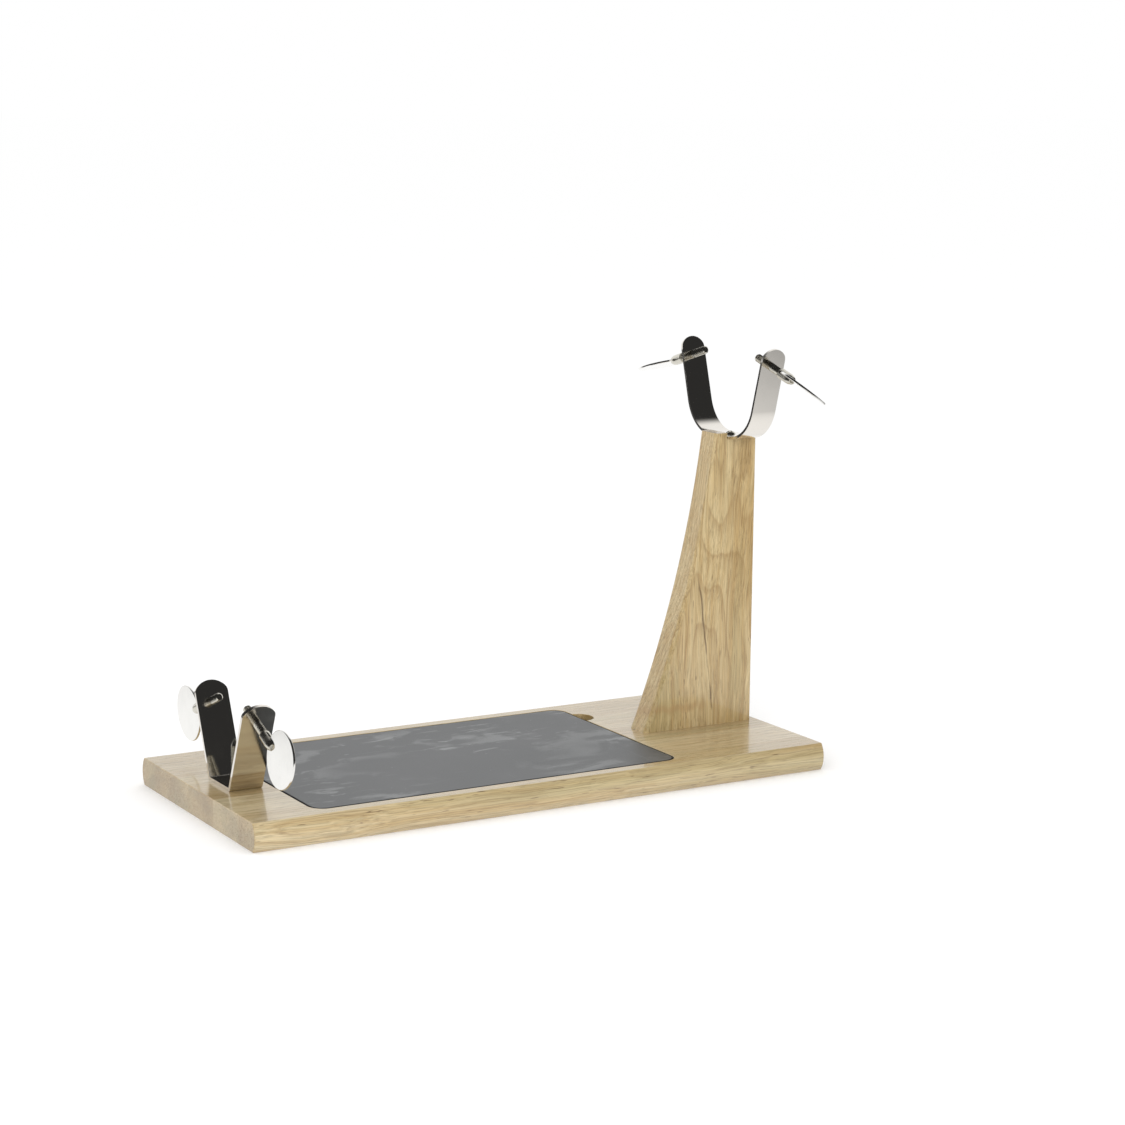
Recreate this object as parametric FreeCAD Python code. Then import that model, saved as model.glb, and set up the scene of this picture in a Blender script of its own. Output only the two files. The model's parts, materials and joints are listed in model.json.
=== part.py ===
import FreeCAD, Part
import math
import os
from FreeCAD import Placement, Rotation, Vector

# Ham holder stand: a wooden base board with a lift-out slate, a post at one end with a U bracket
# for the shank, and a V bracket with a spike for the ham's heavy end. Each bracket has two thumb screws.
#
# Frame: millimetres, +Z up, origin at the centre of the board's underside, +X towards the post.
# "Front" is the -Y side and "back" is the +Y side.

# Base board: edge-glued hardwood, with long sides that swell outwards
BOARD_LENGTH = 450.0
BOARD_WIDTH = 198.0
BOARD_THICK = 20.0
BOARD_BULGE = 3.5
BOARD_EASE = 0.8
BOARD_END_EASE = 0.5
RECESS_EASE = 0.3

# Slate plate, flush in a recess of the board, and the finger hole at its inner end
SLATE_LENGTH = 284.0
SLATE_WIDTH = 171.0
SLATE_THICK = 5.0
SLATE_CORNER = 11.0
SLATE_EASE = 0.5
SLATE_CENTRE_X = -33.9
SLATE_GAP = 0.5
FINGER_HOLE_RADIUS = 11.0
FINGER_HOLE_DEPTH = 8.5
FINGER_HOLE_Y = 55.0

# Post: upright back face, hollowed front face, rounded front edges, and a step at the back of its top
# that seats the upper bracket behind a shoulder
POST_BACK_X = 218.6
POST_BOTTOM_DEPTH = 93.0
POST_TOP_DEPTH = 34.6
POST_THICK = 22.0
POST_SEAT_HEIGHT = 215.0
POST_SHOULDER_HEIGHT = 4.5
POST_SHOULDER_DEPTH = 9.2
POST_HOLLOW = 7.5
POST_FRONT_ROUND = 3.0
POST_EASE = 0.6
POST_SEAT_Z = BOARD_THICK + POST_SEAT_HEIGHT
POST_SHOULDER_X = POST_BACK_X - POST_TOP_DEPTH + POST_SHOULDER_DEPTH

# Fasteners
FIT_GAP = 0.05
SPIKE_RADIUS = 3.0
SPIKE_TIP_Z = 52.0
SPIKE_CONE = 5.5
SPIKE_HEAD_RADIUS = 6.0
SPIKE_HEAD_HEIGHT = 4.5
SPIKE_HEAD_SUNK = 1.5
SPIKE_KEY_RADIUS = 2.9
SPIKE_KEY_DEPTH = 2.5
WOOD_SCREW_RADIUS = 2.25
WOOD_SCREW_HEAD_RADIUS = 4.75
WOOD_SCREW_LENGTH = 55.0
WOOD_SCREW_SUNK = 0.6
WOOD_SCREW_POINT = 7.0
POST_SCREW_FROM_BACK = (22.0, 66.0)
STRAP_SCREW_RADIUS = 2.0
STRAP_SCREW_HEAD_RADIUS = 4.0
STRAP_SCREW_HEAD_HEIGHT = 2.4
STRAP_SCREW_LENGTH = 28.0
STRAP_SCREW_POINT = 5.0
STRAP_SCREW_NECK = 0.3
DRIVE_SLOT_WIDTH = 1.1
DRIVE_SLOT_DEPTH = 1.3

# Brackets: bent steel strap. "flat" is half the flat base, "bend" is the outer bend radius, "lean" is
# the arms' lean from upright, "cross" is how far below the arm's tip the thumb screw's axis crosses it.
LOWER_BRACKET = {
    "x": -196.0, "z": BOARD_THICK, "width": 24.0, "thick": 2.5, "flat": 16.0, "bend": 3.0,
    "lean": 22.8, "top": 84.3, "tip_radius": 14.0, "cross": 14.5,
}
STRAP_SEAT_GAP = 0.2
UPPER_WIDTH = 20.0
UPPER_BRACKET = {
    "x": POST_SHOULDER_X + STRAP_SEAT_GAP + UPPER_WIDTH / 2, "z": POST_SEAT_Z, "width": UPPER_WIDTH,
    "thick": 2.0, "flat": 12.5, "bend": 32.0, "lean": 16.0, "top": 305.0, "tip_radius": 10.4,
    "cross": 13.6,
}
TIP_BLEND = 1.5

# Thumb screws: a rod through the arm, a slotted collar on its outer end and a round plate in the slot
ROD_RADIUS = 3.0
ROD_CHAMFER = 0.9
COLLAR_RADIUS = 3.9
COLLAR_END_RADIUS = 2.9
COLLAR_TAPER = 5.0
COLLAR_LENGTH = 15.0
COLLAR_SOCKET = 7.5
COLLAR_LIP = 0.7
DISC_RADIUS = 20.0
DISC_THICK = 1.6
DISC_EASE = 0.3
DISC_OVERLAP = 6.0
ROD_END_GAP = 0.4

# The four thumb screws are alike, this long from the rod's inner tip to the collar's outer end.
# "inside" is how far the tip stands inside the arm's middle plane, and "turn" is the plate's turn
# about the screw's axis, from level, in degrees.
SCREW_LENGTH = 46.0
THUMB_SCREWS = {
    "lower_front": {"inside": 18.0, "turn": 85.0},
    "lower_back": {"inside": 13.0, "turn": 88.0},
    "upper_front": {"inside": 19.0, "turn": -33.0},
    "upper_back": {"inside": 17.0, "turn": -3.5},
}

# Cutters reach this far past the faces that they open
MARGIN = 5.0
TINY = 1e-6


def save(name, shape):
    """Write one node's solids to its STEP file."""
    shape.exportStep(os.path.join("parts", name + ".step"))


def face(edges):
    """A face from edges that join end to end."""
    return Part.Face(Part.Wire(edges))


def line(a, b):
    return Part.makeLine(a, b)


def arc(a, b, c):
    """A circle's arc from a through b to c."""
    return Part.Arc(a, b, c).toShape()


def upright(radius, z0, z1, x=0.0, y=0.0):
    """A round bar on +Z."""
    return Part.makeCylinder(radius, z1 - z0, Vector(x, y, z0))


def turned(outline):
    """A solid of revolution about Z from (radius, height) points, listed upwards."""
    points = [Vector(0, 0, outline[0][1])]
    points += [Vector(r, 0, z) for r, z in outline]
    points += [Vector(0, 0, outline[-1][1])]
    kept = [p for i, p in enumerate(points) if i == 0 or p.distanceToPoint(points[i - 1]) > TINY]
    wire = Part.makePolygon(kept + [kept[0]])
    return Part.Face(wire).revolve(Vector(0, 0, 0), Vector(0, 0, 1), 360)


def rounded_plate(length, width, radius, z0, z1):
    """A plate centred on Z with rounded corners."""
    plate = Part.makeBox(length, width, z1 - z0, Vector(-length / 2, -width / 2, z0))
    corners = [e for e in plate.Edges if abs(e.Vertexes[0].Z - e.Vertexes[1].Z) > TINY]
    return plate.makeFillet(radius, corners)


def edges_at(shape, test):
    """The edges whose two ends and middle all pass a test."""
    def passes(edge):
        middle = edge.valueAt((edge.FirstParameter + edge.LastParameter) / 2)
        ends = [v.Point for v in edge.Vertexes]
        return all(test(p) for p in ends + [middle])
    return [e for e in shape.Edges if passes(e)]


def cross_slots(z_low, z_high, reach):
    """Two crossed bars, for the recess of a cross-head screw."""
    corner = Vector(-reach, -DRIVE_SLOT_WIDTH / 2, z_low)
    across = Part.makeBox(2 * reach, DRIVE_SLOT_WIDTH, z_high - z_low, corner)
    along = across.copy()
    along.rotate(Vector(0, 0, 0), Vector(0, 0, 1), 90)
    return across.fuse(along)


# ---------------------------------------------------------------- base board and slate

def board_blank():
    """The board before it is cut: a bar along X whose two long sides are shallow arcs."""
    x0 = -BOARD_LENGTH / 2
    widest = BOARD_WIDTH / 2
    edge = widest - BOARD_BULGE
    middle = BOARD_THICK / 2
    section = face([
        line(Vector(x0, -edge, 0), Vector(x0, edge, 0)),
        arc(Vector(x0, edge, 0), Vector(x0, widest, middle), Vector(x0, edge, BOARD_THICK)),
        line(Vector(x0, edge, BOARD_THICK), Vector(x0, -edge, BOARD_THICK)),
        arc(Vector(x0, -edge, BOARD_THICK), Vector(x0, -widest, middle), Vector(x0, -edge, 0)),
    ])
    blank = section.extrude(Vector(BOARD_LENGTH, 0, 0))

    def is_long_edge(p):
        return abs(abs(p.y) - edge) < TINY and abs(abs(p.z - middle) - middle) < TINY

    blank = blank.makeFillet(BOARD_EASE, edges_at(blank, is_long_edge))
    ends = edges_at(blank, lambda p: abs(abs(p.x) - BOARD_LENGTH / 2) < TINY)
    return blank.makeChamfer(BOARD_END_EASE, ends)


def slate_recess():
    """The shallow pocket for the slate, with its finger hole."""
    floor = BOARD_THICK - SLATE_THICK
    grow = 2 * SLATE_GAP
    pocket = rounded_plate(SLATE_LENGTH + grow, SLATE_WIDTH + grow, SLATE_CORNER + SLATE_GAP,
                           floor, BOARD_THICK + MARGIN)
    pocket.translate(Vector(SLATE_CENTRE_X, 0, 0))
    hole_x = SLATE_CENTRE_X + SLATE_LENGTH / 2
    hole = upright(FINGER_HOLE_RADIUS, BOARD_THICK - FINGER_HOLE_DEPTH, BOARD_THICK + MARGIN,
                   hole_x, FINGER_HOLE_Y)
    return pocket.fuse(hole)


def post_screw_places():
    return [POST_BACK_X - back for back in POST_SCREW_FROM_BACK]


def base_board():
    """The board with its recess, the spike bolt's stepped hole and the post screws' countersinks."""
    board = board_blank().cut(slate_recess())
    inset = SLATE_WIDTH / 2 + BOARD_EASE
    rim = edges_at(board, lambda p: abs(p.z - BOARD_THICK) < TINY and abs(p.y) < inset
                   and abs(p.x - SLATE_CENTRE_X) < SLATE_LENGTH / 2 + FINGER_HOLE_RADIUS + TINY)
    board = board.makeChamfer(RECESS_EASE, rim)
    spike_x = LOWER_BRACKET["x"]
    head_top = SPIKE_HEAD_SUNK + SPIKE_HEAD_HEIGHT
    board = board.cut(upright(SPIKE_RADIUS + FIT_GAP, -MARGIN, BOARD_THICK + MARGIN, spike_x))
    board = board.cut(upright(SPIKE_HEAD_RADIUS + SLATE_GAP, -MARGIN, head_top, spike_x))
    for x in post_screw_places():
        board = board.cut(upright(WOOD_SCREW_RADIUS + FIT_GAP, -MARGIN, BOARD_THICK + MARGIN, x))
        depth = WOOD_SCREW_HEAD_RADIUS - WOOD_SCREW_RADIUS + WOOD_SCREW_SUNK
        neck = WOOD_SCREW_RADIUS + FIT_GAP
        board = board.cut(Part.makeCone(neck + depth, neck, depth, Vector(x, 0, 0)))
    return board


def slate_plate():
    plate = rounded_plate(SLATE_LENGTH, SLATE_WIDTH, SLATE_CORNER, BOARD_THICK - SLATE_THICK, BOARD_THICK)
    plate = plate.makeChamfer(SLATE_EASE, edges_at(plate, lambda p: abs(p.z - BOARD_THICK) < TINY))
    plate.translate(Vector(SLATE_CENTRE_X, 0, 0))
    return plate


# ---------------------------------------------------------------- post

def post_side():
    """The post's outline on its front (-Y) side."""
    y = -POST_THICK / 2
    shoulder_z = POST_SEAT_Z + POST_SHOULDER_HEIGHT
    front_low = Vector(POST_BACK_X - POST_BOTTOM_DEPTH, y, BOARD_THICK)
    front_high = Vector(POST_BACK_X - POST_TOP_DEPTH, y, shoulder_z)
    corners = [
        front_low,
        Vector(POST_BACK_X, y, BOARD_THICK),
        Vector(POST_BACK_X, y, POST_SEAT_Z),
        Vector(POST_SHOULDER_X, y, POST_SEAT_Z),
        Vector(POST_SHOULDER_X, y, shoulder_z),
        front_high,
    ]
    chord = front_high - front_low
    inwards = Vector(chord.z, 0, -chord.x).normalize()
    hollow = (front_low + front_high) * 0.5 + inwards * POST_HOLLOW
    straight = [line(low, high) for low, high in zip(corners, corners[1:])]
    return face(straight + [arc(front_high, hollow, front_low)])


def post():
    """The post, drilled for the screws from below and for the bracket's screw from above."""
    half = POST_THICK / 2
    body = post_side().extrude(Vector(0, POST_THICK, 0))
    front = [e for e in body.Edges if e.Curve.TypeId == "Part::GeomCircle"]
    body = body.makeFillet(POST_FRONT_ROUND, front)
    back = edges_at(body, lambda p: abs(p.x - POST_BACK_X) < TINY and abs(abs(p.y) - half) < TINY)
    body = body.makeFillet(POST_EASE, back)
    for x in post_screw_places():
        body = body.cut(upright(WOOD_SCREW_RADIUS + FIT_GAP, 0, WOOD_SCREW_LENGTH + MARGIN, x))
    pilot = upright(STRAP_SCREW_RADIUS + FIT_GAP, POST_SEAT_Z - STRAP_SCREW_LENGTH, POST_SEAT_Z + MARGIN,
                    UPPER_BRACKET["x"])
    return body.cut(pilot)


# ---------------------------------------------------------------- brackets

def arm_frame(spec):
    """(where the bend's outer face ends, the arm's direction, its outward normal) on the +Y side."""
    lean = math.radians(spec["lean"])
    along = Vector(0, math.sin(lean), math.cos(lean))
    out = Vector(0, math.cos(lean), -math.sin(lean))
    centre = Vector(spec["x"], spec["flat"], spec["z"] + spec["bend"])
    return centre + out * spec["bend"], along, out


def arm_length(spec):
    """From the end of the bend to the tip, so that the strap's inner face ends at the top height."""
    start, along, out = arm_frame(spec)
    return (spec["top"] + spec["thick"] * out.z - start.z) / along.z


def half_strap(spec):
    """One half of the bent strap, on +Y, with a square end."""
    start, along, out = arm_frame(spec)
    thick = spec["thick"]
    x = spec["x"]
    lean = math.radians(spec["lean"])
    middle = (math.pi / 2 - lean) / 2
    centre = Vector(x, spec["flat"], spec["z"] + spec["bend"])
    to_middle = Vector(0, math.sin(middle), -math.cos(middle))
    inner = spec["bend"] - thick
    end = start + along * arm_length(spec)
    low, high = Vector(x, 0, spec["z"]), Vector(x, 0, spec["z"] + thick)
    flat_low, flat_high = low + Vector(0, spec["flat"], 0), high + Vector(0, spec["flat"], 0)
    section = face([
        line(low, flat_low),
        arc(flat_low, centre + to_middle * spec["bend"], start),
        line(start, end),
        line(end, end - out * thick),
        line(end - out * thick, start - out * thick),
        arc(start - out * thick, centre + to_middle * inner, flat_high),
        line(flat_high, high),
        line(high, low),
    ])
    strap = section.extrude(Vector(spec["width"], 0, 0))
    strap.translate(Vector(-spec["width"] / 2, 0, 0))
    return strap


def tip_waste(spec):
    """What is cut off a square arm end to round it, in a frame with Y along the arm and its tip at 0."""
    half = spec["width"] / 2
    radius = spec["tip_radius"]
    shoulder = math.sqrt(radius ** 2 - half ** 2) - radius
    deep = 2 * MARGIN + spec["thick"]
    low_right, low_left = Vector(half, -radius - MARGIN, 0), Vector(-half, -radius - MARGIN, 0)
    right, left = Vector(half, shoulder, 0), Vector(-half, shoulder, 0)
    outline = face([
        line(low_left, low_right),
        line(low_right, right),
        arc(right, Vector(0, 0, 0), left),
        line(left, low_left),
    ])
    keep = outline.extrude(Vector(0, 0, deep))
    corners = edges_at(keep, lambda p: abs(abs(p.x) - half) < TINY and abs(p.y - shoulder) < TINY)
    keep = keep.makeFillet(TIP_BLEND, corners)
    block = Part.makeBox(spec["width"] + 2 * MARGIN, radius + MARGIN, deep,
                         Vector(-half - MARGIN, -radius, 0))
    return block.cut(keep)


def crossing(spec, side):
    """Where a thumb screw's axis meets the arm's middle plane. side is -1 for front, 1 for back."""
    start, along, out = arm_frame(spec)
    point = start + along * (arm_length(spec) - spec["cross"]) - out * (spec["thick"] / 2)
    return Vector(point.x, side * point.y, point.z)


def screw_placement(spec, side):
    """Turns local Z into the thumb screw's outward axis, and moves local zero to the crossing."""
    return Placement(crossing(spec, side), Rotation(Vector(1, 0, 0), -side * (90 + spec["lean"])))


def bracket(spec, hole_radius):
    """A bent strap with rounded ends, a hole in the base and one in each arm."""
    half = half_strap(spec)
    start, along, out = arm_frame(spec)
    tip = start + along * arm_length(spec) + out * MARGIN
    waste = tip_waste(spec)
    waste.Placement = Placement(tip, Rotation(Vector(1, 0, 0), 90 - spec["lean"]))
    half = half.cut(waste)
    strap = half.fuse(half.mirror(Vector(0, 0, 0), Vector(0, 1, 0))).removeSplitter()
    base_hole = upright(hole_radius, spec["z"] - MARGIN, spec["z"] + spec["thick"] + MARGIN, spec["x"])
    strap = strap.cut(base_hole)
    for side in (-1, 1):
        drill = upright(ROD_RADIUS + FIT_GAP, -MARGIN, MARGIN)
        drill.Placement = screw_placement(spec, side)
        strap = strap.cut(drill)
    return strap


# ---------------------------------------------------------------- fixed fasteners

def hexagon(radius, z0, z1):
    """A hexagonal bar on +Z, of the radius across its corners."""
    ring = []
    for turn in range(0, 360, 60):
        angle = math.radians(turn)
        ring.append(Vector(radius * math.cos(angle), radius * math.sin(angle), z0))
    return Part.Face(Part.makePolygon(ring + [ring[0]])).extrude(Vector(0, 0, z1 - z0))


def spike_bolt():
    """A socket-head bolt from under the board, whose far end is the ham's spike."""
    head_top = SPIKE_HEAD_SUNK + SPIKE_HEAD_HEIGHT
    bolt = turned([
        (SPIKE_HEAD_RADIUS, SPIKE_HEAD_SUNK),
        (SPIKE_HEAD_RADIUS, head_top),
        (SPIKE_RADIUS, head_top),
        (SPIKE_RADIUS, SPIKE_TIP_Z - SPIKE_CONE),
        (0.0, SPIKE_TIP_Z),
    ])
    bolt = bolt.cut(hexagon(SPIKE_KEY_RADIUS, SPIKE_HEAD_SUNK, SPIKE_HEAD_SUNK + SPIKE_KEY_DEPTH))
    bolt.translate(Vector(LOWER_BRACKET["x"], 0, 0))
    return bolt


def post_screws():
    """Two countersunk wood screws, driven up through the board into the post."""
    low = WOOD_SCREW_SUNK
    neck = low + WOOD_SCREW_HEAD_RADIUS - WOOD_SCREW_RADIUS
    screw = turned([
        (WOOD_SCREW_HEAD_RADIUS, low),
        (WOOD_SCREW_RADIUS, neck),
        (WOOD_SCREW_RADIUS, WOOD_SCREW_LENGTH - WOOD_SCREW_POINT),
        (0.0, WOOD_SCREW_LENGTH),
    ])
    screw = screw.cut(cross_slots(low - MARGIN, low + DRIVE_SLOT_DEPTH, WOOD_SCREW_RADIUS))
    placed = []
    for x in post_screw_places():
        one = screw.copy()
        one.translate(Vector(x, 0, 0))
        placed.append(one)
    return Part.makeCompound(placed)


def upper_bracket_screw():
    """One round-head screw through the upper bracket's base, down into the post."""
    seat = UPPER_BRACKET["z"] + UPPER_BRACKET["thick"]
    top = seat + STRAP_SCREW_HEAD_HEIGHT
    height = STRAP_SCREW_HEAD_HEIGHT
    dome = (STRAP_SCREW_HEAD_RADIUS ** 2 + height ** 2) / (2 * height)
    head = Part.makeSphere(dome, Vector(0, 0, top - dome))
    head = head.common(upright(dome + MARGIN, seat, top + MARGIN))
    low = seat - STRAP_SCREW_LENGTH
    shank = turned([
        (0.0, low),
        (STRAP_SCREW_RADIUS, low + STRAP_SCREW_POINT),
        (STRAP_SCREW_RADIUS, seat + STRAP_SCREW_NECK),
    ])
    screw = head.fuse(shank).removeSplitter()
    screw = screw.cut(cross_slots(top - DRIVE_SLOT_DEPTH, top + MARGIN, STRAP_SCREW_RADIUS))
    screw.translate(Vector(UPPER_BRACKET["x"], 0, 0))
    return screw


# ---------------------------------------------------------------- thumb screws

def outer_end(screw):
    """The collar's outer end, from the arm's middle plane."""
    return SCREW_LENGTH - screw["inside"]


def rod(screw):
    """The plain stock of a threaded rod, chamfered at its inner end."""
    low = -screw["inside"]
    high = outer_end(screw) - COLLAR_LENGTH + COLLAR_SOCKET - ROD_END_GAP
    return turned([
        (ROD_RADIUS - ROD_CHAMFER, low),
        (ROD_RADIUS, low + ROD_CHAMFER),
        (ROD_RADIUS, high),
    ])


def collar(screw):
    """A sleeve on the rod's outer end, tapered and slotted at the plate."""
    end = outer_end(screw)
    start = end - COLLAR_LENGTH
    sleeve = turned([
        (COLLAR_RADIUS - COLLAR_LIP, start),
        (COLLAR_RADIUS, start + COLLAR_LIP),
        (COLLAR_RADIUS, end - COLLAR_TAPER),
        (COLLAR_END_RADIUS, end),
    ])
    sleeve = sleeve.cut(upright(ROD_RADIUS + FIT_GAP, start - MARGIN, start + COLLAR_SOCKET))
    reach = COLLAR_RADIUS + MARGIN
    slot = Part.makeBox(2 * reach, DISC_THICK, DISC_OVERLAP + MARGIN,
                        Vector(-reach, -DISC_THICK / 2, end - DISC_OVERLAP))
    return sleeve.cut(slot)


def disc(screw):
    """The round thumb plate, edge on to local Y, whose rim reaches the bottom of the collar's slot."""
    across = Vector(0, 1, 0)
    plate = Part.makeCylinder(DISC_RADIUS, DISC_THICK, across * (-DISC_THICK / 2), across)
    rims = [e for e in plate.Edges if e.Curve.TypeId == "Part::GeomCircle"]
    plate = plate.makeFillet(DISC_EASE, rims)
    plate.translate(Vector(0, 0, outer_end(screw) - DISC_OVERLAP + DISC_RADIUS))
    return plate


def save_thumb_screws(level, spec):
    """Both thumb screws of one bracket, three nodes each."""
    for place, side in (("front", -1), ("back", 1)):
        name = level + "_" + place
        screw = THUMB_SCREWS[name]
        turn = Placement(Vector(0, 0, 0), Rotation(Vector(0, 0, 1), screw["turn"]))
        where = screw_placement(spec, side).multiply(turn)
        for piece, shape in (("rod", rod(screw)), ("collar", collar(screw)), ("disc", disc(screw))):
            shape.Placement = where.multiply(shape.Placement)
            save(name + "_" + piece, shape)


def main():
    os.makedirs("parts", exist_ok=True)
    save("base_board", base_board())
    save("slate_plate", slate_plate())
    save("post", post())
    save("lower_bracket", bracket(LOWER_BRACKET, SPIKE_RADIUS + FIT_GAP))
    save("upper_bracket", bracket(UPPER_BRACKET, STRAP_SCREW_RADIUS + FIT_GAP))
    save("spike_bolt", spike_bolt())
    save("post_screws", post_screws())
    save("upper_bracket_screw", upper_bracket_screw())
    save_thumb_screws("lower", LOWER_BRACKET)
    save_thumb_screws("upper", UPPER_BRACKET)


main()
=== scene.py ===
import json
import math

import bmesh
import bpy
from mathutils import Matrix, Vector, noise


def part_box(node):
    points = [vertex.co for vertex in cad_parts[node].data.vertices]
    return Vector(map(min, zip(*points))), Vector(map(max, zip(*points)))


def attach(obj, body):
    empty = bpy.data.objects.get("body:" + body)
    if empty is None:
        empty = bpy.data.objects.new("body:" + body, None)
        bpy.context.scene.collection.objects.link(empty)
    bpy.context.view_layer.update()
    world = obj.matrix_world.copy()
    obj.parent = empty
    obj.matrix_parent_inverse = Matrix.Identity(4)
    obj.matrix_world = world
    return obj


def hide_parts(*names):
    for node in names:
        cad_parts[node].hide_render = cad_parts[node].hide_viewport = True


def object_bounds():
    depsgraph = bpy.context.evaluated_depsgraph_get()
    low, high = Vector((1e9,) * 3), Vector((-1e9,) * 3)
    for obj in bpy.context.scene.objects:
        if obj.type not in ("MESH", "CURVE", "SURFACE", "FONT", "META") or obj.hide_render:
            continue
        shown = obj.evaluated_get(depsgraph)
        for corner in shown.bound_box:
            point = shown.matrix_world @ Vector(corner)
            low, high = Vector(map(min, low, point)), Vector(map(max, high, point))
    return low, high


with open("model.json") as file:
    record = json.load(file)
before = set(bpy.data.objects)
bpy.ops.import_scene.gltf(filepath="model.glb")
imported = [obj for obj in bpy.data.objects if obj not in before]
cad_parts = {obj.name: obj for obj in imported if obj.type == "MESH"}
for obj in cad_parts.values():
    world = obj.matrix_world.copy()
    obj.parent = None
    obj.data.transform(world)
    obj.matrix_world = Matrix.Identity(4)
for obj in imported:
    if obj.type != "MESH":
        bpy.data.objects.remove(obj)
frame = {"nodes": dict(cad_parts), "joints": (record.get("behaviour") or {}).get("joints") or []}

# Ham holder stand. The CAD frame is in metres, +Z up, +X along the board towards the post, -Y to the front.
cad_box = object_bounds()    # the CAD model's box, before anything is added

MM = 0.001
TINY = 1e-6              # shorter than any real length here, in metres

# Camera, in metres and degrees: yaw turns from +Y towards +X, pitch looks down
CAMERA_AT = Vector((-0.8834, -1.6237, 0.4934))
CAMERA_YAW = 30.167
CAMERA_PITCH = 10.305
CAMERA_ROLL = 0.51
CAMERA_LENS = 84.77
SENSOR = 36.0

WHITE = (1.0, 1.0, 1.0, 1.0)
BLACK = (0.0, 0.0, 0.0, 1.0)

# Light: a white sky, a large soft key lamp at the front left, and a white floor
SKY_STRENGTH = 1.0
KEY_WAY = Vector((-0.55, -0.76, 0.34)).normalized()
KEY_DISTANCE = 2.4
KEY_SIZE = 1.5
KEY_POWER = 24.0
FLOOR_SIZE = 60.0
FLOOR_DROP = 0.02 * MM
FLOOR_COLOUR = (0.998, 0.998, 0.998, 1.0)
FLOOR_ROUGH = 0.9

# What bright surfaces reflect: a dome and a floor (the apron), white towards BACK_WAY and dark on the
# camera's side. A turn is a pair of cosines to BACK_WAY, between which dark becomes white. The fade is in
# metres from the middle.
DOME_RADIUS = 4.0
BACK_WAY = Vector((0.5025, 0.8646, 0.0))
DOME_WHITE = 1.03
DOME_DARK = 0.03
DOME_TURN = (0.22, 0.58)
DOME_PARTS = (48, 32)
APRON_DROP = 0.01 * MM
APRON_TURN = (0.50, 0.85)
APRON_FADE = (0.34, 1.0)
APRON_AROUND = 96

# Straps: the screws they hold, thickness, outer bend radius, tip radius and the base hole's radius
STRAPS = {
    "lower_bracket": {"level": "lower", "thick": 2.5 * MM, "bend": 3.0 * MM, "tip": 14.0 * MM,
                      "base_hole": 3.05 * MM},
    "upper_bracket": {"level": "upper", "thick": 2.0 * MM, "bend": 32.0 * MM, "tip": 10.4 * MM,
                      "base_hole": 2.05 * MM},
}
STRAP_EDGE = 0.55 * MM
STRAP_POINT = 0.05 * MM
BEND_STEP = math.radians(1.5)
TIP_STEPS = 22
SHOULDER_BLEND = 1.2 * MM
ROD_HOLE = 3.05 * MM
HOLE_AROUND = 64
SHARP_ANGLE = 40.0
BEVEL_ANGLE = 35.0
BEVEL_SEGMENTS = 3

# Threads. The root and the flank are shares of half a pitch, and the crest is the rest.
PITCH = 1.0 * MM
THREAD_DEPTH = 0.6 * MM
THREAD_ROOT = 0.15
THREAD_FLANK = 0.7
THREAD_ROWS = 10
THREAD_AROUND = 36
THREAD_LEAD = 1.5
ROD_CHAMFER = 0.9 * MM

# Thumb screw heads
DISC_EDGE = 0.45 * MM
DISC_AROUND = 128
PLATE_INSET = 0.15 * MM
COLLAR_AROUND = 64
COLLAR_LIP = 0.7 * MM
COLLAR_TAPER = 5.0 * MM
COLLAR_END_RADIUS = 2.9 * MM
COLLAR_NOSE_STEPS = 9
COLLAR_SOCKET = 7.5 * MM
SLOT_DEPTH = 6.0 * MM

# Spike bolt: a threaded shank with a blunted point, and a hexagon socket head under the board
SPIKE_RADIUS = 3.0 * MM
SPIKE_POINT = 5.5 * MM
SPIKE_BLUNT = 0.2 * MM
HEAD_HEIGHT = 4.5 * MM
HEAD_EDGE = 0.5 * MM
HEAD_AROUND = 48
SOCKET_RADIUS = 2.9 * MM
SOCKET_DEPTH = 2.5 * MM

# Slate
SLATE_CORNER = 11.0 * MM
SLATE_CELL = 2.0 * MM
SLATE_BEVEL = 0.55 * MM
SLATE_WAVE = 0.14 * MM
SLATE_CHIP = 0.55 * MM
SLATE_SHARP_ANGLE = 60.0
WAVE_SCALE = 22.0
WEAR_SCALE = 260.0
CHIP_SCALE = 90.0
CHIP_SHIFT = Vector((7, 3, 1))
CHIP_START = 0.25

# Board: glued staves along X, with glue lines at STAVE_SHIFT plus whole widths
STAVE_WIDTH = 43.0 * MM
STAVE_SHIFT = 13.0 * MM

# Oak: the grain's axis, the rings' gap and taper, how far the grain's lines wander in the large, how strong
# the dark figure is, and a tint. A pith is the rings' middle, as two places across the grain: in metres, but
# the post's first one is a share of its depth along the board.
OAKS = {
    "board_oak": {"grain": "X", "gap": 2.6 * MM, "taper": 0.016, "swirl": 14.0 * MM, "figure": 0.62,
                  "tint": (0.98, 1.02, 1.13, 1.0)},
    "post_oak": {"grain": "Z", "gap": 4.0 * MM, "taper": 0.060, "swirl": 30.0 * MM, "figure": 1.0,
                 "tint": (0.98, 0.97, 0.96, 1.0)},
}
BOARD_PITH = (0.0, -0.045)
POST_PITH = (0.62, 0.045)
GRAIN_RIPPLE = 3.2 * MM
OAK_PALE = (0.545, 0.430, 0.235, 1.0)
OAK_WARM = (0.430, 0.300, 0.132, 1.0)
OAK_LATE = (0.285, 0.175, 0.066, 1.0)
OAK_OLIVE = (0.410, 0.335, 0.165, 1.0)
OAK_PORE = (0.115, 0.068, 0.028, 1.0)
OAK_RED = (0.345, 0.205, 0.085, 1.0)

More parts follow.
